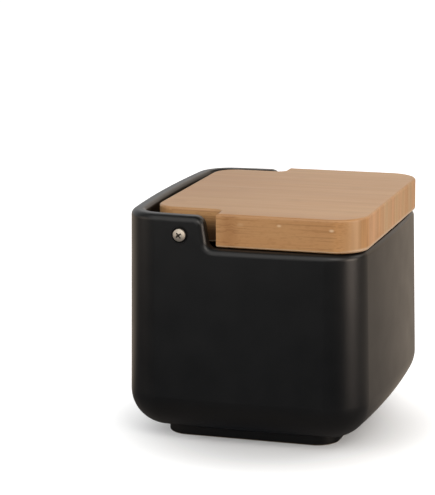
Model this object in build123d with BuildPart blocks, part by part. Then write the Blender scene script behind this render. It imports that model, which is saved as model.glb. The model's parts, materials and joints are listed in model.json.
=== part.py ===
from build123d import *
from math import atan2, degrees, sqrt
import os

# Salt box with a hinged lid, in millimetres. +Z is up and the front faces -Y. The origin
# lies on the surface that the box stands on, under its middle.

# Stoneware box
box_width = 139.8           # across the side walls where they rise from the foot
box_depth = 123.8           # across the front and back walls at the same level
wall_bow = 3.3              # how far the middle of a wall stands out past its ends
wall_lean = 1.9             # how far a wall leans in between its foot and the cheek rim
wall = 7.5
corner_radius = 20.0        # upright corners
bottom_radius = 17.8        # from the walls into the underside
front_height = 97.3         # rim under the front of the lid
rim_outer_radius = 3.0
rim_inner_radius = 2.2
floor_thickness = 7.0
chamber_corner_radius = 11.5
floor_radius = 10.0         # inside, from the walls into the floor

# Foot ring
foot_width = 103.9
foot_depth = 86.3
foot_height = 5.3
foot_corner_radius = 11.5
foot_ring_width = 7.0
foot_recess = 3.6
foot_edge_radius = 0.9

# Step between the front rim and the cheek rim
cheek_reach = 13.5          # from the pivot forwards to the foot of the step
step_lean = 2.4             # the step's face leans back by this over its height
step_hollow_radius = 4.0
step_crown_radius = 5.0

# Bamboo lid
lid_thickness = 16.2
lid_proud = 1.2             # the lid's top stands above the rim of the cheeks and the back wall
lid_rest_gap = 0.3          # between the front rim and the lid
lid_front_inset = 1.1       # from the middle of the front wall back to the lid's front edge
lid_side_inset = 4.3        # from the middle of a side wall in to the lid's side edge
lid_corner_radius = 15.5
lid_tail_radius = 12.0
lid_notch_radius = 4.0      # inside the corner between a shoulder and the tail
lid_edge_radius = 1.2
tail_gap = 5.8              # between the lid's tail and the inside of the back wall
cheek_gap = 6.8             # between the tail's side edge and the inside of a cheek
shoulder_gap = 3.5          # between the foot of the step and the lid's shoulder
stave_count = 17

# Pivots
pivot_back = 18.2           # from the lid's tail forwards to the pivot
pivot_rise = 5.9            # from the lid's underside up to the pivot
screw_radius = 1.5
screw_staves = 3            # staves between the lid's side edge and the one that a screw ends in
screw_bite = 1.3            # how far the screw goes into that one
screw_tip = 3.0
head_radius = 3.0
head_height = 2.1
head_edge = 0.9             # straight height of the head's rim
head_gap = 0.15             # between the head and the sleeve's flange
recess_span = 3.4
recess_width = 0.8
recess_depth = 1.3
recess_taper = 8.0
recess_turns = {"left": 38.0, "right": 12.0}
running_clearance = 0.08    # all round the screw in its sleeve and spacer
bush_radius = 2.6
bush_clearance = 0.1        # all round the sleeve in the cheek
flange_radius = 3.8
flange_thickness = 0.8
seat_clearance = 0.3        # all round the flange in its seat
spacer_radius = 4.0
spacer_gap = 0.4            # between the spacer and the inside of the cheek

# How closely an edge or a corner is picked out, how much a face may slope and still count as
# upright, and the least that a fillet leaves of a corner
pick = 0.01
upright_slope = 0.1
fillet_margin = 1.0

# Levels and places that follow from those sizes
floor_level = foot_height + floor_thickness
lid_bottom = front_height + lid_rest_gap
pivot_z = lid_bottom + pivot_rise
cheek_height = lid_bottom + lid_thickness - lid_proud
wall_height = cheek_height - foot_height
lean_angle = degrees(atan2(wall_lean, wall_height))


def lean_at(level):
    """How far a wall has leaned in at a level."""
    return wall_lean * (level - foot_height) / wall_height


tail_y = box_depth / 2 - lean_at(cheek_height) - wall - tail_gap
pivot_y = tail_y - pivot_back
step_foot_y = pivot_y - cheek_reach
step_top_y = step_foot_y + step_lean
shoulder_y = step_foot_y - shoulder_gap
lid_front_y = -(box_depth / 2 - lean_at(front_height) - lid_front_inset)
lid_half_width = box_width / 2 - lean_at(front_height) - lid_side_inset
stave_width = 2 * lid_half_width / stave_count
screw_end = lid_half_width - screw_staves * stave_width - screw_bite

# A side wall is an arc in plan. At the pivot it lies a little inside its middle.
side_wall_radius = ((box_depth / 2 - wall_bow) ** 2 + wall_bow**2) / (2 * wall_bow)
bow_drop = side_wall_radius - sqrt(side_wall_radius**2 - pivot_y**2)
cheek_outside = box_width / 2 - lean_at(pivot_z) - bow_drop
cheek_inside = cheek_outside - wall
tail_half_width = cheek_inside - cheek_gap
flange_seat = cheek_outside - flange_thickness
head_seat = cheek_outside + head_gap

os.makedirs("parts", exist_ok=True)


def save(builder, name):
    """Name a finished piece and write it to its own file."""
    builder.part.label = name
    export_step(builder.part, f"parts/{name}.step")


def wall_plan(inset, corner):
    """Plan inside the box's outline at its foot: four bowed walls and rounded corners."""
    end_x = box_width / 2 - wall_bow
    end_y = box_depth / 2 - wall_bow
    with BuildSketch() as plan:
        with BuildLine():
            SagittaArc((-end_x, -end_y), (end_x, -end_y), -wall_bow)
            SagittaArc((end_x, -end_y), (end_x, end_y), -wall_bow)
            SagittaArc((end_x, end_y), (-end_x, end_y), -wall_bow)
            SagittaArc((-end_x, end_y), (-end_x, -end_y), -wall_bow)
        make_face()
        offset(amount=-inset, mode=Mode.REPLACE)
        fillet(plan.vertices(), corner)
    return plan.sketch


outside_plan = wall_plan(0, corner_radius)
chamber_plan = wall_plan(wall + lean_at(floor_level), chamber_corner_radius)

# Stoneware box: one fired and glazed shell with its foot ring, step and pivot holes
with BuildPart() as stoneware_box:
    # Outside, a little taller than the finished rim
    trim = 2 * rim_outer_radius
    with BuildSketch(Plane.XY.offset(foot_height)):
        add(outside_plan)
    extrude(amount=wall_height + trim, taper=lean_angle)
    underside_edges = stoneware_box.edges().group_by(Axis.Z)[0]
    fillet(underside_edges, min(bottom_radius, corner_radius - fillet_margin))

    # Rim line: low at the front, an S-shaped step, high along the cheeks and the back
    with BuildSketch(Plane.YZ):
        with BuildLine():
            rim_line = FilletPolyline(
                (-box_depth, front_height),
                (step_foot_y, front_height),
                (step_top_y, cheek_height),
                (box_depth, cheek_height),
                radius=[step_hollow_radius, step_crown_radius],
            )
            Polyline(
                rim_line @ 1,
                (box_depth, cheek_height + 2 * trim),
                (-box_depth, cheek_height + 2 * trim),
                rim_line @ 0,
            )
        make_face()
    extrude(amount=box_width, both=True, mode=Mode.SUBTRACT)
    rim_level = front_height - rim_outer_radius / 2
    across_rim = stoneware_box.edges().filter_by(Axis.X)
    outer_rim = stoneware_box.edges().filter_by(lambda e: e.center().Z > rim_level) - across_rim
    fillet(outer_rim, rim_outer_radius)

    # Salt chamber
    with BuildSketch(Plane.XY.offset(floor_level)):
        add(chamber_plan)
    extrude(amount=cheek_height + trim - floor_level, taper=lean_angle, mode=Mode.SUBTRACT)
    floor_edges = stoneware_box.edges().filter_by_position(
        Axis.Z, floor_level - pick, floor_level + pick
    )
    fillet(floor_edges, min(floor_radius, chamber_corner_radius - fillet_margin))
    chamber_walls = stoneware_box.faces().filter_by(
        lambda f: f.center().Z > floor_level
        and f.normal_at().dot(Vector(f.center().X, f.center().Y, 0)) < 0
        and abs(f.normal_at().Z) < upright_slope
    )
    inner_rim = chamber_walls.edges().filter_by(lambda e: e.center().Z > rim_level)
    fillet(inner_rim, rim_inner_radius)

    # Foot ring, hollow underneath
    with BuildSketch():
        RectangleRounded(foot_width, foot_depth, foot_corner_radius)
    extrude(amount=foot_height + floor_thickness / 2)
    with BuildSketch():
        RectangleRounded(
            foot_width - 2 * foot_ring_width,
            foot_depth - 2 * foot_ring_width,
            foot_corner_radius - foot_ring_width,
        )
    extrude(amount=foot_recess, mode=Mode.SUBTRACT)
    foot_edges = stoneware_box.edges().group_by(Axis.Z)[0]
    fillet(foot_edges, foot_edge_radius)

    # Pivot holes, each with a seat for its sleeve's flange
    for side in (-1, 1):
        hole_mouth = Plane(
            origin=(side * (flange_seat + trim), pivot_y, pivot_z), z_dir=(side, 0, 0)
        )
        with Locations(hole_mouth):
            CounterBoreHole(
                radius=bush_radius + bush_clearance,
                counter_bore_radius=flange_radius + seat_clearance,
                counter_bore_depth=trim,
                depth=trim + 2 * wall,
            )
save(stoneware_box, "stoneware_box")

# Lid: a thick bamboo plank, wide over the front rim and narrow between the cheeks
with BuildPart() as lid:
    with BuildSketch(Plane.XY.offset(lid_bottom)) as lid_plan:
        with BuildLine():
            Polyline(
                (-lid_half_width, lid_front_y),
                (lid_half_width, lid_front_y),
                (lid_half_width, shoulder_y),
                (tail_half_width, shoulder_y),
                (tail_half_width, tail_y),
                (-tail_half_width, tail_y),
                (-tail_half_width, shoulder_y),
                (-lid_half_width, shoulder_y),
                close=True,
            )
        make_face()
        fillet(lid_plan.vertices().group_by(Axis.Y)[0], lid_corner_radius)
        fillet(lid_plan.vertices().group_by(Axis.Y)[-1], lid_tail_radius)
        notch_corners = lid_plan.vertices().filter_by(
            lambda v: abs(abs(v.X) - tail_half_width) < pick and abs(v.Y - shoulder_y) < pick
        )
        shoulder_width = lid_half_width - tail_half_width
        fillet(notch_corners, min(lid_notch_radius, shoulder_width - fillet_margin))
    extrude(amount=lid_thickness)
    underside = lid.faces().sort_by(Axis.Z)[0]
    top = lid.faces().sort_by(Axis.Z)[-1]
    fillet(underside.edges() + top.edges(), lid_edge_radius)
    for side in (-1, 1):
        screw_mouth = Plane(
            origin=(side * tail_half_width, pivot_y, pivot_z), z_dir=(side, 0, 0)
        )
        with Locations(screw_mouth):
            Hole(radius=screw_radius, depth=tail_half_width - screw_end)

# The plank is glued up from staves that run from front to back
for number in range(stave_count):
    stave_x = -lid_half_width + (number + 0.5) * stave_width
    with BuildPart() as stave:
        add(lid.part)
        with Locations((stave_x, 0, lid_bottom + lid_thickness / 2)):
            Box(stave_width, 2 * box_depth, 2 * lid_thickness, mode=Mode.INTERSECT)
    save(stave, f"lid_stave_{number + 1:02d}")

# Pivots, one set in each cheek. Profiles are drawn outwards from the middle of the box.
dome = head_height - head_edge
dome_radius = (head_radius**2 + dome**2) / (2 * dome)
bore_radius = screw_radius + running_clearance
pivot_axis = Axis((0, pivot_y, pivot_z), (1, 0, 0))
for side, name in ((-1, "left"), (1, "right")):
    profile_plane = Plane(
        origin=(0, pivot_y, pivot_z), x_dir=(side, 0, 0), z_dir=(0, 0, side)
    )

    # Pan-head screw: turns with the lid, its point in the wood
    with BuildPart() as pivot_screw:
        with BuildSketch(profile_plane):
            with BuildLine():
                Polyline(
                    (head_seat + head_height, 0),
                    (screw_end, 0),
                    (screw_end + screw_tip, screw_radius),
                    (head_seat, screw_radius),
                    (head_seat, head_radius),
                    (head_seat + head_edge, head_radius),
                )
                RadiusArc(
                    (head_seat + head_edge, head_radius),
                    (head_seat + head_height, 0),
                    dome_radius,
                )
            make_face()
        revolve(axis=pivot_axis)
        head_face = Plane(
            origin=(side * (head_seat + head_height), pivot_y, pivot_z),
            x_dir=(0, 1, 0),
            z_dir=(side, 0, 0),
        )
        with BuildSketch(head_face):
            turn = recess_turns[name]
            Rectangle(recess_span, recess_width, rotation=turn)
            Rectangle(recess_width, recess_span, rotation=turn)
            Circle(recess_width)
        extrude(amount=-recess_depth, taper=recess_taper, mode=Mode.SUBTRACT)
    save(pivot_screw, f"pivot_screw_{name}")

    # Flanged sleeve: lines the hole in the cheek
    with BuildPart() as pivot_bush:
        with BuildSketch(profile_plane):
            with BuildLine():
                Polyline(
                    (cheek_inside, bore_radius),
                    (cheek_outside, bore_radius),
                    (cheek_outside, flange_radius),
                    (flange_seat, flange_radius),
                    (flange_seat, bush_radius),
                    (cheek_inside, bush_radius),
                    close=True,
                )
            make_face()
        revolve(axis=pivot_axis)
    save(pivot_bush, f"pivot_bush_{name}")

    # Spacer: on the screw, between the cheek and the lid's side edge
    with BuildPart() as lid_spacer:
        with BuildSketch(profile_plane):
            with BuildLine():
                Polyline(
                    (tail_half_width, bore_radius),
                    (cheek_inside - spacer_gap, bore_radius),
                    (cheek_inside - spacer_gap, spacer_radius),
                    (tail_half_width, spacer_radius),
                    close=True,
                )
            make_face()
        revolve(axis=pivot_axis)
    save(lid_spacer, f"lid_spacer_{name}")
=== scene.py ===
import json
import math

import bpy
from mathutils import Matrix, Vector


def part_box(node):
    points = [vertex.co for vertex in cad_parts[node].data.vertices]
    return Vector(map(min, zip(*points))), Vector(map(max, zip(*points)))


# Salt box with a hinged lid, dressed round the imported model. Metres, +Z up, front towards -Y.
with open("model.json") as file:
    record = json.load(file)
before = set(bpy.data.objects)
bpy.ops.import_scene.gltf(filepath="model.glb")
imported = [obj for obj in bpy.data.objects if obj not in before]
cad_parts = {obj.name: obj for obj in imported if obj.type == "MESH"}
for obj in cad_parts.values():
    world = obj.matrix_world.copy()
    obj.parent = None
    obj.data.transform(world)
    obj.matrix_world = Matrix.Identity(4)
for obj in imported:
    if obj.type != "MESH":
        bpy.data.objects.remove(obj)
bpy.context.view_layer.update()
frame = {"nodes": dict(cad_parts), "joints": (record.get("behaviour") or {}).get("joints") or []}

MM = 0.001
STAVES = sorted(name for name in frame["nodes"] if name.startswith("lid_stave_"))
SCREWS = ("pivot_screw_left", "pivot_screw_right")
NYLON_PARTS = ("pivot_bush_left", "pivot_bush_right", "lid_spacer_left", "lid_spacer_right")

# Where the lid lies, from its own staves
lid_left = min(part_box(name)[0].x for name in STAVES)
lid_right = max(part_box(name)[1].x for name in STAVES)
lid_front = min(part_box(name)[0].y for name in STAVES)
lid_top = max(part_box(name)[1].z for name in STAVES)
lid_bottom = min(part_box(name)[0].z for name in STAVES)
shoulder = max(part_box(STAVES[0])[1].y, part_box(STAVES[-1])[1].y)
stave_width = (lid_right - lid_left) / len(STAVES)
pivot = Vector(frame["joints"][0]["pos_m"])

# Sockets of a Mix node: its two colours and the output for them, and its two plain numbers
MIX_A = 6
MIX_B = 7
MIX_RESULT = 2
MIX_LOW = 2
MIX_HIGH = 3


def linear(hex_colour):
    """An sRGB hex colour as linear red, green, blue and alpha."""
    channels = [int(hex_colour[i : i + 2], 16) / 255 for i in (1, 3, 5)]
    return tuple(c / 12.92 if c <= 0.04045 else ((c + 0.055) / 1.055) ** 2.4 for c in channels) + (1.0,)


def add(tree, kind, inputs=None, output=0, **settings):
    """Add a shader node with its settings and links, and give the output that is asked for.

    An input is a plain value or another node's output.
    """
    node = tree.nodes.new("ShaderNode" + kind)
    for name, value in settings.items():
        setattr(node, name, value)
    for key, value in (inputs or {}).items():
        if isinstance(value, bpy.types.NodeSocket):
            tree.links.new(value, node.inputs[key])
        else:
            node.inputs[key].default_value = value
    return node.outputs[output] if node.outputs else None


def start_material(name):
    """An empty node material and its tree."""
    material = bpy.data.materials.new(name)
    material.use_nodes = True
    material.node_tree.nodes.clear()
    return material, material.node_tree


def per_metre(*grain):
    """How many grains of these sizes in millimetres fit in a metre, along X, Y and Z."""
    return [1 / (size * MM) for size in grain]


# Bamboo, sawn in staves, glued edge to edge, planed and oiled. To the eye it is straight
# fibre from front to back, each stave a shade of its own. Brown vascular bundles run with the
# fibre and crowd towards one side of every stave, so the end grain at the front edge stands in
# upright bands. Where a culm had a node, the fibre waves and turns darker. The underside took
# more oil. The upright corners and the rounded edges carry painted shade, the lower edge a
# pale painted highlight, and the sides of the tail in the gap beside the cheeks painted shade,
# darker downwards. Lengths are in millimetres.
ROW_MARGIN = 0.1          # the row's outer faces are drawn as if this far inside their staves
CULM_STRETCH = 5000.0     # two staves come from places up to this far apart along the culm
BUNDLE_GRAIN = (0.9, 70.0, 0.9)   # real bundles are 0.5 to 1 mm apart
BUNDLE_WIDTHS = (0.45, 0.15)      # at the skin and a stave away from it, in grains
BUNDLE_EDGE = 0.15                # how far beyond that a bundle fades, in grains
LID_GRAINS = {
    # name: size in mm across, along and up, detail, and the noise where it starts and is full
    "cloud": ((9.0, 60.0, 9.0), 2.0, 0.35, 0.65),
    "fibre": ((0.5, 34.0, 0.5), 3.0, 0.35, 0.7),     # real fibres are far finer, drawn to show
    "layer": ((1.3, 60.0, 36.0), 1.0, 0.4, 0.7),     # growth layers across a stave
    "tick": ((1.5, 2.6, 1.0), 1.0, 0.5, 0.7),        # short dark ticks of the sawn side edges
}
JOINT_LINE = 0.2          # real glue lines are 0.1 mm, drawn wider to show
NODE_EVERY = 230.0        # a culm has a node every 200 to 300 mm
NODE_WIDTH = 13.0
NODE_WAVE = 1.6           # how far the fibre waves there
NODE_WAVE_LENGTH = 5.0
LEFT_NODE = 5.0           # where the left stave has one, just in front of its shoulder
NODE_STEP = 0.618         # how far the nodes move on from stave to stave, as a share of their spacing
PAINTED_EDGE_HIGHLIGHTS = {
    # name: how far above the underside the painted highlight is palest, and where it ends
    "side_edge_highlight": (0.4, 1.4),
    "front_edge_highlight": (0.9, 2.3),
}
GAP_BEHIND = 0.2          # how far behind the shoulders the painted shade on the sides of the tail starts
GAP_TOP = 1.0             # how far down from the top it starts
GAP_FULL = 4.0            # how far above the underside it is darkest
FLECKS = (
    # on the left edge: back from the front edge, down from the top, size, strength
    (14.4, 5.1, 0.8, 0.6),
    (39.7, 4.1, 0.7, 0.5),
    (58.6, 4.6, 1.1, 0.12),
)
FLECK_STRETCH = 1.8       # how many times longer than high a fleck is
FLECK_FULL = 0.2          # how far out from its middle it is palest, in sizes
FLECK_END = 1.2           # and where it ends
LID_FACES = {
    # name: how squarely the surface faces its way where it starts to count, and where it is full
    "end_grain": (0.25, 0.9),
    "side_grain": (0.8, 0.98),
    "underside": (-0.5, -0.95),
    "off_edge": (0.1, 0.6),       # no longer upright
    "off_flat": (0.99, 0.9),      # no longer level
}
BARE_BAMBOO = "#bc8e5e"
COATS = (
    # pattern, where on the lid, strength, colour; each lies over the ones before it
    ("tone", "everywhere", 1.0, "#c59b6a"),
    ("cloud", "everywhere", 0.3, "#b47d4b"),
    ("fibre", "everywhere", 0.16, "#d3a877"),
    ("bundle", "everywhere", 0.13, "#8c5c33"),
    ("bundle", "side_grain", 0.23, "#8c5c33"),
    ("tick", "side_grain", 0.22, "#9a6a3c"),
    ("skin", "end_grain", 0.85, "#bfa780"),
    ("warmth", "end_grain", 0.65, "#cc9468"),
    ("layer", "end_grain", 0.6, "#956a40"),
    # painted shade: the upright corners darkened against the light they catch
    ("corner", "end_grain", 1.4, "#a27c4f"),
    ("node", "everywhere", 0.1, "#93602f"),
    ("node", "side_grain", 0.3, "#93602f"),
    ("everywhere", "underside", 0.55, "#bd8342"),
    ("warmth", "underside", 0.6, "#9c6428"),
    ("bundle", "underside", 0.35, "#774a20"),
    ("node", "underside", 0.3, "#774a20"),
    ("joint", "everywhere", 0.22, "#7a5230"),
    # painted shade: the sides of the tail darken downwards in the gap beside the cheeks
    ("gap", "side_grain", 0.85, "#2a160a"),
    # painted shade: the rounded edges darkened against the light they catch
    ("rounded", "everywhere", 0.3, "#9a7148"),
    # painted highlight: a pale line along the lower edge of the front and the sides
    ("front_edge_highlight", "end_grain", 1.0, "#c8b095"),
    ("side_edge_highlight", "side_grain", 0.85, "#f0e0c4"),
    ("fleck", "everywhere", 1.0, "#efd7b4"),
)
OIL_ROUGHNESS = (0.38, 0.46)      # between the fibres and on them
OIL_IOR = 1.5
BUNDLE_DIP = -0.8         # how high a bundle stands, next to a fibre
FIBRE_RELIEF = {"Strength": 0.3, "Distance": 0.02 * MM}


def stave_numbers(tree, x):
    """How far along the row of staves a point lies, and the random numbers of its stave."""
    inner = {"Value": x, "Min": lid_left + ROW_MARGIN * MM, "Max": lid_right - ROW_MARGIN * MM}
    along_row = add(tree, "Clamp", inner)
    along_row = add(tree, "Math", {0: along_row, 1: lid_left}, operation="SUBTRACT")
    along_row = add(tree, "Math", {0: along_row, 1: stave_width}, operation="DIVIDE")
    stave = add(tree, "Math", {0: along_row}, operation="FLOOR")
    chance = add(tree, "TexWhiteNoise", {"W": stave}, "Color", noise_dimensions="1D")
    return along_row, chance


def culm_node(tree, y, along_row):
    """How near a point is to the node of its culm: 1 at the node, 0 past its width."""
    stave = add(tree, "Math", {0: along_row}, operation="FLOOR")
    moved_on = add(tree, "Math", {0: stave, 1: NODE_STEP}, operation="MULTIPLY")
    turn = add(tree, "Math", {0: y, 1: LEFT_NODE * MM}, operation="SUBTRACT")
    turn = add(tree, "Math", {0: turn, 1: NODE_EVERY * MM}, operation="DIVIDE")
    turn = add(tree, "Math", {0: turn, 1: moved_on}, operation="ADD")
    nearest = add(tree, "Math", {0: turn}, operation="ROUND")
    away = add(tree, "Math", {0: turn, 1: nearest}, operation="SUBTRACT")
    away = add(tree, "Math", {0: away}, operation="ABSOLUTE")
    reach = {"Value": away, "From Max": NODE_WIDTH / NODE_EVERY / 2, "To Min": 1.0, "To Max": 0.0}
    return add(tree, "MapRange", reach, interpolation_type="SMOOTHSTEP")


def fibre_place(tree, place, chance, node):
    """The place in the fibre: another stretch of bamboo in each stave, waved near a node."""
    wave = add(tree, "VectorMath", {0: place, 1: per_metre(*[NODE_WAVE_LENGTH] * 3)}, operation="MULTIPLY")
    wave = add(tree, "TexNoise", {"Vector": wave, "Scale": 1.0, "Detail": 1.0}, "Color")
    wave = add(tree, "VectorMath", {0: wave, 1: (0.5, 0.5, 0.5)}, operation="SUBTRACT")
    wave = add(tree, "VectorMath", {0: wave, "Scale": 2 * NODE_WAVE * MM}, operation="SCALE")
    wave = add(tree, "VectorMath", {0: wave, "Scale": node}, operation="SCALE")
    stretch = {0: chance, 1: (0, CULM_STRETCH * MM, 0)}
    stretch = add(tree, "VectorMath", stretch, operation="MULTIPLY")
    waved = add(tree, "VectorMath", {0: place, 1: wave}, operation="ADD")
    return add(tree, "VectorMath", {0: waved, 1: stretch}, operation="ADD")


def bundle_marks(tree, fibre_at, along_row, skin):
    """Where a vascular bundle shows, from 0 to 1. They crowd towards the culm's skin."""
    bundle = add(tree, "VectorMath", {0: fibre_at, 1: per_metre(*BUNDLE_GRAIN)}, operation="MULTIPLY")
    bundle = add(tree, "TexVoronoi", {"Vector": bundle, "Scale": 1.0}, "Distance")
    across = add(tree, "Math", {0: along_row}, operation="FRACT")
    from_skin = add(tree, "Math", {0: across, 1: skin}, operation="SUBTRACT")
    from_skin = add(tree, "Math", {0: from_skin}, operation="ABSOLUTE")
    width = {"Value": from_skin, "To Min": BUNDLE_WIDTHS[0], "To Max": BUNDLE_WIDTHS[1]}
    width = add(tree, "MapRange", width)
    outside = add(tree, "Math", {0: bundle, 1: width}, operation="SUBTRACT")
    reach = {"Value": outside, "From Max": BUNDLE_EDGE, "To Min": 1.0, "To Max": 0.0}
    return add(tree, "MapRange", reach, interpolation_type="SMOOTHSTEP")


def joint_line(tree, along_row):
    """The glue line between two staves, from 0 to 1. The row's outer faces have none."""
    nearest = add(tree, "Math", {0: along_row, 1: 0.5}, operation="ADD")
    nearest = add(tree, "Math", {0: nearest}, operation="FLOOR")
    nearest = add(tree, "Clamp", {"Value": nearest, "Min": 1.0, "Max": len(STAVES) - 1.0})
    away = add(tree, "Math", {0: along_row, 1: nearest}, operation="SUBTRACT")
    away = add(tree, "Math", {0: away}, operation="ABSOLUTE")
    reach = {"Value": away, "From Max": JOINT_LINE * MM / stave_width, "To Min": 1.0, "To Max": 0.0}
    return add(tree, "MapRange", reach, interpolation_type="SMOOTHSTEP")


def left_flecks(tree, place):
    """Pale flecks in the left edge of the lid, from 0 to 1, longer with the fibre."""
    flecks = 0.0
    for back, down, size, strength in FLECKS:
        middle = (lid_left, lid_front + back * MM, lid_top - down * MM)
        away = add(tree, "VectorMath", {0: place, 1: middle}, operation="SUBTRACT")
        away = {0: away, 1: per_metre(size, FLECK_STRETCH * size, size)}
        away = add(tree, "VectorMath", away, operation="MULTIPLY")
        away = add(tree, "VectorMath", {0: away}, "Value", operation="LENGTH")
        reach = {"Value": away, "From Min": FLECK_FULL, "From Max": FLECK_END}
        reach |= {"To Min": strength, "To Max": 0.0}
        fleck = add(tree, "MapRange", reach, interpolation_type="SMOOTHSTEP")
        flecks = add(tree, "Math", {0: flecks, 1: fleck}, operation="MAXIMUM")
    return flecks


def painted_gap_shade(tree, y, z):
    """How far down in the gap beside a cheek a point of the lid's tail lies, from 0 to 1, for the painted
    shade there.
    """
    behind = add(tree, "Math", {0: y, 1: shoulder + GAP_BEHIND * MM}, operation="GREATER_THAN")
    down = {"Value": z, "From Min": lid_top - GAP_TOP * MM, "From Max": lid_bottom + GAP_FULL * MM}
    down = add(tree, "MapRange", down, interpolation_type="SMOOTHSTEP")
    return add(tree, "Math", {0: behind, 1: down}, operation="MULTIPLY")


def painted_edge_highlight(tree, z, full, end):
    """The painted highlight along the lower edge, just above the underside, from 0 to 1."""
    reach = {"Value": z, "From Min": lid_bottom + full * MM, "From Max": lid_bottom + end * MM}
    reach |= {"To Min": 1.0, "To Max": 0.0}
    return add(tree, "MapRange", reach, interpolation_type="SMOOTHSTEP")


def lid_faces(tree):
    """Which way the lid's surface faces on the lid itself, each from 0 to 1."""
    normal = add(tree, "TexCoord", output="Normal")
    facing = add(tree, "VectorMath", {0: normal}, operation="ABSOLUTE")
    sideways, endways, level = add(tree, "SeparateXYZ", {0: facing}).node.outputs
    upwards = add(tree, "SeparateXYZ", {0: normal}, "Z")
    ways = {"end_grain": endways, "side_grain": sideways, "underside": upwards}
    ways |= {"off_edge": level, "off_flat": level}
    faces = {"everywhere": 1.0}
    for name, (start, full) in LID_FACES.items():
        faces[name] = add(tree, "MapRange", {"Value": ways[name], "From Min": start, "From Max": full})
    # the rounded edges, for their painted shade
    rounded = {0: faces["off_edge"], 1: faces["off_flat"]}
    faces["rounded"] = add(tree, "Math", rounded, operation="MULTIPLY")
    # the upright corners, for their painted shade
    faces["corner"] = add(tree, "Math", {0: sideways, 1: endways}, operation="MULTIPLY")
    return faces


def lid_patterns(tree):
    """All that is drawn on the lid and where it may lie, each from 0 to 1."""
    place = add(tree, "TexCoord", output="Object")
    x, y, z = add(tree, "SeparateXYZ", {0: place}).node.outputs
    along_row, chance = stave_numbers(tree, x)
    patterns = lid_faces(tree)
    numbers = add(tree, "SeparateColor", {0: chance}).node.outputs
    patterns |= dict(zip(("skin", "tone", "warmth"), numbers))
    patterns["node"] = culm_node(tree, y, along_row)
    fibre_at = fibre_place(tree, place, chance, patterns["node"])
    patterns["bundle"] = bundle_marks(tree, fibre_at, along_row, patterns["skin"])
    for name, (size, detail, start, full) in LID_GRAINS.items():
        grain = add(tree, "VectorMath", {0: fibre_at, 1: per_metre(*size)}, operation="MULTIPLY")
        grain = add(tree, "TexNoise", {"Vector": grain, "Scale": 1.0, "Detail": detail})
        patterns[name] = add(tree, "MapRange", {"Value": grain, "From Min": start, "From Max": full})
    patterns["joint"] = joint_line(tree, along_row)
    # painted shade on the sides of the tail in the gap beside the cheeks
    patterns["gap"] = painted_gap_shade(tree, y, z)
    # painted highlights along the lower edges
    for name, (full, end) in PAINTED_EDGE_HIGHLIGHTS.items():
        patterns[name] = painted_edge_highlight(tree, z, full, end)
    patterns["fleck"] = left_flecks(tree, place)
    return patterns


def bamboo():
    material, tree = start_material("oiled_laminated_bamboo")
    patterns = lid_patterns(tree)
    colour = linear(BARE_BAMBOO)
    for pattern, where, strength, paint in COATS:
        share = {0: patterns[pattern], 1: patterns[where]}
        share = add(tree, "Math", share, operation="MULTIPLY")
        share = add(tree, "Math", {0: share, 1: strength}, operation="MULTIPLY")
        mixed = {0: share, MIX_A: colour, MIX_B: linear(paint)}
        colour = add(tree, "Mix", mixed, MIX_RESULT, data_type="RGBA")
    roughness = {"Value": patterns["fibre"], "To Min": OIL_ROUGHNESS[0], "To Max": OIL_ROUGHNESS[1]}
    roughness = add(tree, "MapRange", roughness)
    height = {0: patterns["bundle"], 1: BUNDLE_DIP, 2: patterns["fibre"]}
    height = add(tree, "Math", height, operation="MULTIPLY_ADD")
    relief = add(tree, "Bump", FIBRE_RELIEF | {"Height": height})
    finish = {"Base Color": colour, "Roughness": roughness, "IOR": OIL_IOR, "Normal": relief}
    shader = add(tree, "BsdfPrincipled", finish)
    add(tree, "OutputMaterial", {"Surface": shader})
    return material


# Slip-cast stoneware under a matte black glaze. To the eye it is a near-black, faintly
# clouded skin with a broad soft sheen and the slight unevenness of a fired surface. The
# bottom of the foot ring is wiped clean and shows the bare clay.
GLAZE_GRAINS = {
    # name: size in mm, detail
    "cloud": (14.0, 4.0),
    "grit": (0.7, 2.0),           # real matte crystals are finer, drawn coarser to show
    "ripple": (22.0, 0.0),
}
CLOUD_RANGE = (0.3, 0.7)  # the noise where a cloud starts and is full
BARE_BELOW = 0.6          # the glaze stops this far above the bottom of the foot, in mm
DARK_GLAZE = "#070809"
PALE_GLAZE = "#0b0c0d"
DARK_CLAY = "#8f7f6c"
PALE_CLAY = "#b5a48c"
GLAZE_ROUGHNESS = (0.34, 0.38)    # between the clouds and in them
CLAY_ROUGHNESS = 0.85
GLAZE_IOR = 1.45
GRIT_HEIGHT = 0.03        # next to the ripple
GLAZE_RELIEF = {"Strength": 0.25, "Distance": 0.25 * MM}


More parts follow.
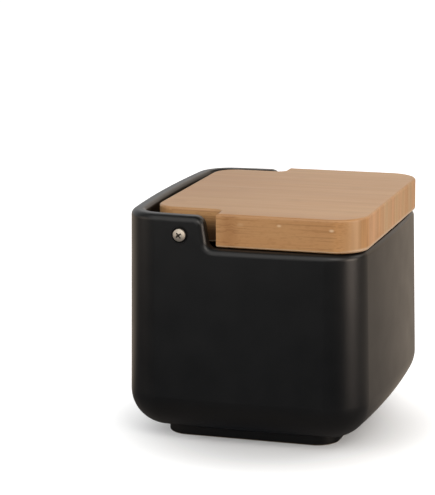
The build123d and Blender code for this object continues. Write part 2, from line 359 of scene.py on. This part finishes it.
def black_glaze():
    material, tree = start_material("matte_black_glazed_stoneware")
    place = add(tree, "TexCoord", output="Object")
    z = add(tree, "SeparateXYZ", {0: place}, "Z")
    grains = {}
    for name, (size, detail) in GLAZE_GRAINS.items():
        grain = add(tree, "VectorMath", {0: place, 1: per_metre(size, size, size)}, operation="MULTIPLY")
        grains[name] = add(tree, "TexNoise", {"Vector": grain, "Scale": 1.0, "Detail": detail})
    clouded = {"Value": grains["cloud"], "From Min": CLOUD_RANGE[0], "From Max": CLOUD_RANGE[1]}
    clouded = add(tree, "MapRange", clouded)
    mixed = {0: clouded, MIX_A: linear(DARK_GLAZE), MIX_B: linear(PALE_GLAZE)}
    glaze = add(tree, "Mix", mixed, MIX_RESULT, data_type="RGBA")
    mixed = {0: grains["grit"], MIX_A: linear(DARK_CLAY), MIX_B: linear(PALE_CLAY)}
    clay = add(tree, "Mix", mixed, MIX_RESULT, data_type="RGBA")
    glazed = {"Value": z, "From Min": 0.5 * BARE_BELOW * MM, "From Max": BARE_BELOW * MM}
    glazed = add(tree, "MapRange", glazed, interpolation_type="SMOOTHSTEP")
    mixed = {0: glazed, MIX_A: clay, MIX_B: glaze}
    colour = add(tree, "Mix", mixed, MIX_RESULT, data_type="RGBA")
    sheen = {"Value": clouded, "To Min": GLAZE_ROUGHNESS[0], "To Max": GLAZE_ROUGHNESS[1]}
    sheen = add(tree, "MapRange", sheen)
    roughness = add(tree, "Mix", {0: glazed, MIX_LOW: CLAY_ROUGHNESS, MIX_HIGH: sheen})
    height = {0: grains["grit"], 1: GRIT_HEIGHT, 2: grains["ripple"]}
    height = add(tree, "Math", height, operation="MULTIPLY_ADD")
    relief = add(tree, "Bump", GLAZE_RELIEF | {"Height": height})
    finish = {"Base Color": colour, "Roughness": roughness, "IOR": GLAZE_IOR, "Normal": relief}
    shader = add(tree, "BsdfPrincipled", finish)
    add(tree, "OutputMaterial", {"Surface": shader})
    return material


# Nickel-plated steel, tumbled before plating. To the eye it is a warm silver with a soft,
# slightly uneven shine, and the cross recess is painted darker, a painted shade. Lengths are in
# millimetres.
TUMBLE_MARKS = 0.35
RECESS_REACH = 1.9        # the cross recess lies this near the screw's axis
RECESS_FLOOR = 0.8        # how far down from the top of the head it is quite dark
HEAD_CROWN = 0.35         # how far the head's own surface falls off within that reach
DARK_PLATE = "#c4bbae"
PALE_PLATE = "#dcd5ca"
# painted shade in the cross recess
RECESS_SHADE_COLOUR = "#55504a"
PLATE_ROUGHNESS = (0.55, 0.75)    # from the darkest to the palest marks
TUMBLE_RELIEF = {"Strength": 0.2, "Distance": 0.02 * MM}


def recess_shade(tree, place):
    """How deep a point lies in the cross recess of a screw's head, from 0 to 1."""
    head_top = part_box("pivot_screw_right")[1].x
    from_axis = add(tree, "VectorMath", {0: place, 1: pivot}, operation="SUBTRACT")
    from_axis = add(tree, "VectorMath", {0: from_axis, 1: (0, 1, 1)}, operation="MULTIPLY")
    from_axis = add(tree, "VectorMath", {0: from_axis}, "Value", operation="LENGTH")
    near = add(tree, "Math", {0: from_axis, 1: RECESS_REACH * MM}, operation="LESS_THAN")
    out = add(tree, "SeparateXYZ", {0: place}, "X")
    out = add(tree, "Math", {0: out}, operation="ABSOLUTE")
    depth = {"Value": out, "To Min": 1.0, "To Max": 0.0}
    depth |= {"From Min": head_top - RECESS_FLOOR * MM, "From Max": head_top - HEAD_CROWN * MM}
    depth = add(tree, "MapRange", depth, interpolation_type="SMOOTHSTEP")
    return add(tree, "Math", {0: near, 1: depth}, operation="MULTIPLY")


def nickel_plate():
    material, tree = start_material("nickel_plated_steel")
    place = add(tree, "TexCoord", output="Object")
    marks = {0: place, 1: per_metre(TUMBLE_MARKS, TUMBLE_MARKS, TUMBLE_MARKS)}
    marks = add(tree, "VectorMath", marks, operation="MULTIPLY")
    marks = add(tree, "TexNoise", {"Vector": marks, "Scale": 1.0, "Detail": 3.0})
    mixed = {0: marks, MIX_A: linear(DARK_PLATE), MIX_B: linear(PALE_PLATE)}
    plating = add(tree, "Mix", mixed, MIX_RESULT, data_type="RGBA")
    # painted shade in the cross recess
    mixed = {0: recess_shade(tree, place), MIX_A: plating, MIX_B: linear(RECESS_SHADE_COLOUR)}
    colour = add(tree, "Mix", mixed, MIX_RESULT, data_type="RGBA")
    roughness = {"Value": marks, "To Min": PLATE_ROUGHNESS[0], "To Max": PLATE_ROUGHNESS[1]}
    roughness = add(tree, "MapRange", roughness)
    relief = add(tree, "Bump", TUMBLE_RELIEF | {"Height": marks})
    finish = {"Base Color": colour, "Metallic": 1.0, "Roughness": roughness, "Normal": relief}
    shader = add(tree, "BsdfPrincipled", finish)
    add(tree, "OutputMaterial", {"Surface": shader})
    return material


# Black nylon, injection moulded. To the eye it is a dull, very fine-grained black.
MOULD_GRAIN = 0.25        # in mm
DARK_NYLON = "#050505"
PALE_NYLON = "#0a0a0a"
NYLON_ROUGHNESS = (0.5, 0.75)
NYLON_IOR = 1.53
NYLON_SPECULAR = 0.2
MOULD_RELIEF = {"Strength": 0.3, "Distance": 0.02 * MM}


def black_nylon():
    material, tree = start_material("moulded_black_nylon")
    place = add(tree, "TexCoord", output="Object")
    grain = {0: place, 1: per_metre(MOULD_GRAIN, MOULD_GRAIN, MOULD_GRAIN)}
    grain = add(tree, "VectorMath", grain, operation="MULTIPLY")
    grain = add(tree, "TexNoise", {"Vector": grain, "Scale": 1.0, "Detail": 2.0})
    mixed = {0: grain, MIX_A: linear(DARK_NYLON), MIX_B: linear(PALE_NYLON)}
    colour = add(tree, "Mix", mixed, MIX_RESULT, data_type="RGBA")
    roughness = {"Value": grain, "To Min": NYLON_ROUGHNESS[0], "To Max": NYLON_ROUGHNESS[1]}
    roughness = add(tree, "MapRange", roughness)
    relief = add(tree, "Bump", MOULD_RELIEF | {"Height": grain})
    finish = {"Base Color": colour, "Roughness": roughness, "IOR": NYLON_IOR, "Normal": relief}
    shader = add(tree, "BsdfPrincipled", finish | {"Specular IOR Level": NYLON_SPECULAR})
    add(tree, "OutputMaterial", {"Surface": shader})
    return material


def dress(names, material):
    """Give the model's own pieces a finish."""
    for name in names:
        piece = frame["nodes"][name]
        piece.data.materials.clear()
        piece.data.materials.append(material)


dress(["stoneware_box"], black_glaze())
dress(STAVES, bamboo())
dress(SCREWS, nickel_plate())
dress(NYLON_PARTS, black_nylon())

# Camera: to the left of the box and a little above it, turned towards the front. Angles are
# in degrees, azimuth 0 in front of the box and -90 at its left side.
IMAGE_WIDTH = 435
IMAGE_HEIGHT = 495
SENSOR = 36.0                     # in mm
VIEW_AZIMUTH = -72.18
VIEW_ELEVATION = 12.29
VIEW_ROLL = -0.53
VIEW_DISTANCE = 1.0617
NEAREST = 0.05                    # nothing nearer than this is drawn
FOCAL_PIXELS = 2110.25
AIM_HEIGHT = 0.055                # the middle of the box, on its upright axis
AIM_PIXEL = (277.34, 305.54)      # where the image shows it


def towards(azimuth, height):
    """The unit vector from the box towards a lamp or the camera, for angles in degrees."""
    azimuth, height = math.radians(azimuth), math.radians(height)
    level = math.cos(height)
    return Vector((math.sin(azimuth) * level, -math.cos(azimuth) * level, math.sin(height)))


def studio_camera():
    back = towards(VIEW_AZIMUTH, VIEW_ELEVATION)
    level_right = towards(VIEW_AZIMUTH + 90, 0)
    level_up = back.cross(level_right)
    roll = math.radians(VIEW_ROLL)
    right = level_right * math.cos(roll) + level_up * math.sin(roll)
    up = level_up * math.cos(roll) - level_right * math.sin(roll)
    pixel = VIEW_DISTANCE / FOCAL_PIXELS
    aside = (AIM_PIXEL[0] - IMAGE_WIDTH / 2) * pixel
    below = (AIM_PIXEL[1] - IMAGE_HEIGHT / 2) * pixel
    place = Vector((0, 0, AIM_HEIGHT)) - right * aside + up * below + back * VIEW_DISTANCE
    camera = bpy.data.objects.new("camera", bpy.data.cameras.new("camera"))
    camera.data.sensor_width = SENSOR
    camera.data.lens = FOCAL_PIXELS * SENSOR / IMAGE_HEIGHT
    camera.data.clip_start = NEAREST
    camera.matrix_world = Matrix.Translation(place) @ Matrix((right, up, back)).transposed().to_4x4()
    bpy.context.scene.collection.objects.link(camera)
    bpy.context.scene.camera = camera


# Studio: soft lamps, all aimed at the middle of the box, and white surroundings. Directions
# are azimuth and height above the floor in degrees, as for the camera.
LAMPS = {
    # name: (azimuth, height, distance, size, watts, colour)
    "key_softbox": (-54, 36, 1.0, 0.5, 3.0, "#fff8f0"),
    "front_high_softbox": (20, 36, 1.0, 0.5, 1.9, "#fff8f0"),
    "front_softbox": (-15, 8, 0.6, 0.3, 1.8, "#ffeddd"),
    "left_high_softbox": (-105, 42, 1.0, 1.1, 5.3, "#fffcf8"),
    "left_low_softbox": (-110, 8, 1.0, 0.5, 0.5, "#ffffff"),
    "back_left_softbox": (-150, 8, 1.0, 0.5, 1.4, "#ffeddd"),
    "right_softbox": (75, 14, 1.0, 1.2, 1.8, "#ffdab0"),
}
WHITE = "#ffffff"
SURROUNDINGS_LIGHT = 0.12         # how bright they are for everything but the camera
BEHIND_LIGHT = 0.87               # how bright gloss sees them behind the box
BEHIND_AZIMUTH = 125              # the way that they are brightest
BEHIND_START = 0.3                # the cosine of how far off that way they start to brighten
BEHIND_FULL = 0.95                # and of how far off they are brightest

# Floor, in metres. Near the box its glow for the camera fades, so the floor there shows the box's real
# shadow and a painted shadow, darker towards the box. Gloss sees it dark at the left of the box, and white
# at the right.
FLOOR_SIZE = 12.0
FLOOR_PAINT = "#d6dade"           # as the camera sees it
BOUNCE_PAINT = "#5a5f68"          # as the box sees it
MIRRORED_WHITE = "#ffe9d0"        # the white that gloss sees
SHADOW_MIDDLE = (-0.03, -0.01, 0)  # the painted shadow is centred here, on the camera's side of the box
SHADOW_INNER = 0.03               # this far from there, the floor starts to turn white
SHADOW_OUTER = 0.125              # and is all white
SHADOW_WHITE = 0.15               # the white in the shadow, besides its own light
MIRROR_START = -0.05              # from here to the right, gloss starts to see the white
MIRROR_END = 0.04                 # and sees all of it
BESIDE = (0.4, 1, 0)              # the way from the front of the box to beside it
BESIDE_START = -0.1               # how far along that way the white starts to rise
BESIDE_END = 0.0                  # and is full
FRONT_WHITE = 0.31                # how white it is in front
BESIDE_WHITE = 0.75               # and beside the box
MIRROR_RINGS = (
    # gloss sees a little white all round the box, close by and far off: how far from its middle
    # the white starts, is full, fades and ends, and how white it is
    (0.055, 0.08, 0.085, 0.16, 0.12),
    (0.45, 0.9, 5.0, 6.0, 0.2),
)


def studio_lamps():
    for name, (azimuth, height, distance, size, watts, colour) in LAMPS.items():
        lamp = bpy.data.lights.new(name, "AREA")
        lamp.size = size
        lamp.energy = watts
        lamp.color = linear(colour)[:3]
        holder = bpy.data.objects.new(name, lamp)
        outwards = towards(azimuth, height)
        holder.location = Vector((0, 0, AIM_HEIGHT)) + outwards * distance
        holder.rotation_euler = (-outwards).to_track_quat("-Z", "Y").to_euler()
        bpy.context.scene.collection.objects.link(holder)


def seen_by_gloss(tree, rays):
    """1 for what metal and gloss mirror or glass lets through, else 0."""
    gloss = {0: rays["Is Glossy Ray"], 1: rays["Is Transmission Ray"]}
    return add(tree, "Math", gloss, operation="MAXIMUM")


def white_surroundings():
    """White for the camera, and for gloss bright behind the box and dim in front of it."""
    world = bpy.data.worlds.new("white_surroundings")
    world.use_nodes = True
    tree = world.node_tree
    tree.nodes.clear()
    rays = add(tree, "LightPath").node.outputs
    direction = add(tree, "TexCoord", output="Generated")
    behind = {0: direction, 1: towards(BEHIND_AZIMUTH, 0)}
    behind = add(tree, "VectorMath", behind, "Value", operation="DOT_PRODUCT")
    mirrored = {"Value": behind, "From Min": BEHIND_START, "From Max": BEHIND_FULL}
    mirrored |= {"To Min": SURROUNDINGS_LIGHT, "To Max": BEHIND_LIGHT}
    mirrored = add(tree, "MapRange", mirrored, interpolation_type="SMOOTHSTEP")
    strength = {0: seen_by_gloss(tree, rays), MIX_LOW: SURROUNDINGS_LIGHT, MIX_HIGH: mirrored}
    strength = add(tree, "Mix", strength)
    strength = {0: rays["Is Camera Ray"], MIX_LOW: strength, MIX_HIGH: 1.0}
    strength = add(tree, "Mix", strength)
    light = add(tree, "Background", {"Color": linear(WHITE), "Strength": strength})
    add(tree, "OutputWorld", {"Surface": light})
    bpy.context.scene.world = world


def floor_glow(tree, rays):
    """How white the floor is besides its own light.

    The camera sees the white past the shadow of the box and less of it towards the box, a painted
    shadow there; gloss sees it on the right side, close to the box and far off.
    """
    place = add(tree, "TexCoord", output="Object")
    past_shadow = add(tree, "VectorMath", {0: place, 1: SHADOW_MIDDLE}, "Value", operation="DISTANCE")
    past_shadow = {"Value": past_shadow, "From Min": SHADOW_INNER, "From Max": SHADOW_OUTER}
    past_shadow |= {"To Min": SHADOW_WHITE}
    past_shadow = add(tree, "MapRange", past_shadow, interpolation_type="SMOOTHSTEP")
    seen = {0: rays["Is Camera Ray"], 1: past_shadow}
    seen = add(tree, "Math", seen, operation="MULTIPLY")
    right = add(tree, "SeparateXYZ", {0: place}, "X")
    right = {"Value": right, "From Min": MIRROR_START, "From Max": MIRROR_END}
    right = add(tree, "MapRange", right, interpolation_type="SMOOTHSTEP")
    beside = add(tree, "VectorMath", {0: place, 1: BESIDE}, "Value", operation="DOT_PRODUCT")
    beside = {"Value": beside, "From Min": BESIDE_START, "From Max": BESIDE_END}
    beside |= {"To Min": FRONT_WHITE, "To Max": BESIDE_WHITE}
    beside = add(tree, "MapRange", beside, interpolation_type="SMOOTHSTEP")
    mirrored = add(tree, "Math", {0: right, 1: beside}, operation="MULTIPLY")
    away = add(tree, "VectorMath", {0: place}, "Value", operation="LENGTH")
    for start, full, fade, end, white in MIRROR_RINGS:
        rise = {"Value": away, "From Min": start, "From Max": full, "To Max": white}
        rise = add(tree, "MapRange", rise, interpolation_type="SMOOTHSTEP")
        fall = {"Value": away, "From Min": fade, "From Max": end, "To Min": 1.0, "To Max": 0.0}
        fall = add(tree, "MapRange", fall, interpolation_type="SMOOTHSTEP")
        ring = add(tree, "Math", {0: rise, 1: fall}, operation="MULTIPLY")
        mirrored = add(tree, "Math", {0: mirrored, 1: ring}, operation="MAXIMUM")
    mirrored = {0: seen_by_gloss(tree, rays), 1: mirrored}
    mirrored = add(tree, "Math", mirrored, operation="MULTIPLY")
    return add(tree, "Math", {0: seen, 1: mirrored}, operation="MAXIMUM")


def white_floor():
    material, tree = start_material("white_floor")
    rays = add(tree, "LightPath").node.outputs
    mixed = {0: rays["Is Camera Ray"], MIX_A: linear(MIRRORED_WHITE), MIX_B: linear(WHITE)}
    white = add(tree, "Mix", mixed, MIX_RESULT, data_type="RGBA")
    glow = add(tree, "Emission", {"Color": white, "Strength": floor_glow(tree, rays)})
    mixed = {0: rays["Is Camera Ray"], MIX_A: linear(BOUNCE_PAINT), MIX_B: linear(FLOOR_PAINT)}
    grey = add(tree, "Mix", mixed, MIX_RESULT, data_type="RGBA")
    paint = add(tree, "BsdfDiffuse", {"Color": grey})
    shader = add(tree, "AddShader", {0: paint, 1: glow})
    add(tree, "OutputMaterial", {"Surface": shader})
    return material


def studio_floor():
    """Pale floor that keeps the shadow of the box, with a painted shadow near it, and turns into the white
    behind it.
    """
    half = FLOOR_SIZE / 2
    corners = [(-half, -half, 0), (half, -half, 0), (half, half, 0), (-half, half, 0)]
    mesh = bpy.data.meshes.new("studio_floor")
    mesh.from_pydata(corners, [], [(0, 1, 2, 3)])
    mesh.materials.append(white_floor())
    floor = bpy.data.objects.new("studio_floor", mesh)
    bpy.context.scene.collection.objects.link(floor)


studio_camera()
studio_lamps()
white_surroundings()
studio_floor()
bpy.context.scene.view_settings.view_transform = "Standard"
